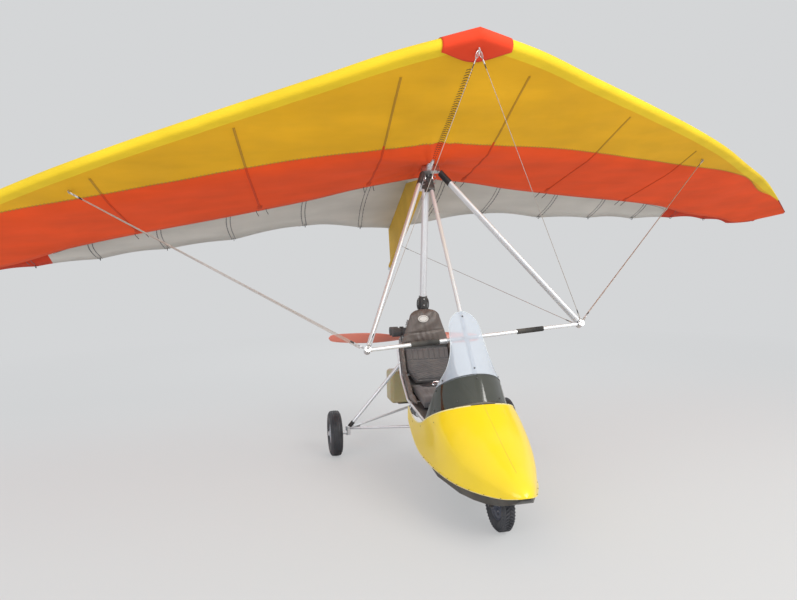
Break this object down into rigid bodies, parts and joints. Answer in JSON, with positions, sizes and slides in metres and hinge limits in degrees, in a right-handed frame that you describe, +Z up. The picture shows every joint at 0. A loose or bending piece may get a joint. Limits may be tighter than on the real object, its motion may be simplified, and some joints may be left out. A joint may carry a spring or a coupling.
{
  "type": "flex-wing microlight aircraft",
  "caption": "Weight-shift microlight: fabric delta wing hung from a mast, with a control frame and rigging, over a three-wheeled trike with pod, screen, tandem seats and pusher propeller.",
  "frame": {"origin": "on the ground under the middle of the aircraft's bounding box", "axes": "+X to port along the span, +Y aft, +Z up; the aircraft stands on its three wheels at Z = 0"},
  "size_m": [10.3551, 3.5323, 3.255],
  "materials": {
    "sail_cloth": "woven polyester sailcloth in yellow, orange red and white bands",
    "cap_cloth": "red and yellow sailcloth cap",
    "pocket_cloth": "mustard sailcloth",
    "alloy": "bright anodised tube",
    "black_fitting": "black painted steel",
    "steel": "satin stainless steel",
    "cable": "stranded stainless cable",
    "black_plastic": "black moulded plastic",
    "grip_foam": "black foam grip",
    "pod_paint": "glossy yellow moulding",
    "pod_dark": "black moulding",
    "screen_clear": "clear moulded screen",
    "screen_smoked": "smoked moulded screen",
    "seat_vinyl": "brown grey coated cloth",
    "seat_cloth": "dark grey ribbed cloth",
    "frame_steel": "black painted tube",
    "tank_plastic": "translucent white plastic",
    "engine_alloy": "cast alloy, dusty",
    "exhaust_steel": "heat stained steel",
    "filter_foam": "dark foam",
    "tyre": "black tyre with dust",
    "rim": "grey blue moulded wheel",
    "prop_blade": "salmon red painted blade"
  },
  "bodies": {
    "trike": {"mast_head": "black_fitting", "upper_mast": "alloy", "lower_mast": "alloy", "fold_bracket": "black_fitting", "front_strut": "alloy", "base_tube": "alloy", "leg_collar": "black_fitting", "link_collar": "black_fitting", "drag_collar": "black_fitting", "undercarriage_left": "alloy", "undercarriage_right": "alloy", "pod_body": "pod_paint", "pod_belly": "pod_dark", "screen_cowl": "screen_smoked", "windscreen": "screen_clear", "seat_frame": "alloy", "seat_back": "seat_vinyl", "back_pad": "seat_cloth", "rear_cushion": "seat_cloth", "front_cushion": "seat_cloth", "tank_tray": "frame_steel", "fuel_tank": "tank_plastic", "engine_rails": "frame_steel", "engine_stays": "frame_steel", "engine_block": "engine_alloy", "engine_cylinders": "engine_alloy", "gearbox": "engine_alloy", "exhaust": "exhaust_steel", "air_intake": "filter_foam"},
    "hanger": {"hang_bracket": "steel"},
    "wing": {"sail_left": "sail_cloth", "sail_right": "sail_cloth", "nose_cap": "cap_cloth", "keel_tube": "alloy", "keel_pocket": "pocket_cloth", "kingpost": "alloy", "upright_left": "alloy", "upright_right": "alloy", "upright_knuckles": "black_plastic", "apex_bracket": "steel", "control_bar": "alloy", "bar_grips": "grip_foam", "corner_fittings": "steel", "wire_tangs": "steel", "side_wires": "cable", "fore_aft_wires": "cable", "upper_wires": "cable"},
    "fork": {"nose_fork": "frame_steel", "foot_pegs": "frame_steel"},
    "nose_wheel": {"nose_tyre": "tyre", "nose_rim": "rim"},
    "left_wheel": {"left_tyre": "tyre", "left_rim": "rim"},
    "right_wheel": {"right_tyre": "tyre", "right_rim": "rim"},
    "airscrew": {"propeller": "prop_blade"}
  },
  "joints": [
    {"name": "wing_pitch", "type": "hinge", "parent": "trike", "child": "hanger", "pos_m": [0, 0.10483, 2.41323], "axis": [1, 0, 0], "range_deg": [0, 22]},
    {"name": "wing_roll", "type": "hinge", "parent": "hanger", "child": "wing", "pos_m": [0, 0.139, 2.48], "axis": [0, 0.8902, -0.4555], "range_deg": [-16, 24]},
    {"name": "steering", "type": "hinge", "parent": "trike", "child": "fork", "pos_m": [0, -1.311, 0.44], "axis": [0, 0.2588, 0.9659], "range_deg": [-25, 25]},
    {"name": "nose_wheel_spin", "type": "hinge", "parent": "fork", "child": "nose_wheel", "pos_m": [0, -1.361, 0.17], "axis": [1, 0, 0], "continuous": true},
    {"name": "left_wheel_spin", "type": "hinge", "parent": "trike", "child": "left_wheel", "pos_m": [0.817, 0.47, 0.2], "axis": [1, 0, 0], "continuous": true},
    {"name": "right_wheel_spin", "type": "hinge", "parent": "trike", "child": "right_wheel", "pos_m": [-0.817, 0.47, 0.2], "axis": [1, 0, 0], "continuous": true},
    {"name": "propeller_spin", "type": "hinge", "parent": "trike", "child": "airscrew", "pos_m": [0, 1.051, 0.955], "axis": [0, 1, 0], "continuous": true}
  ]
}
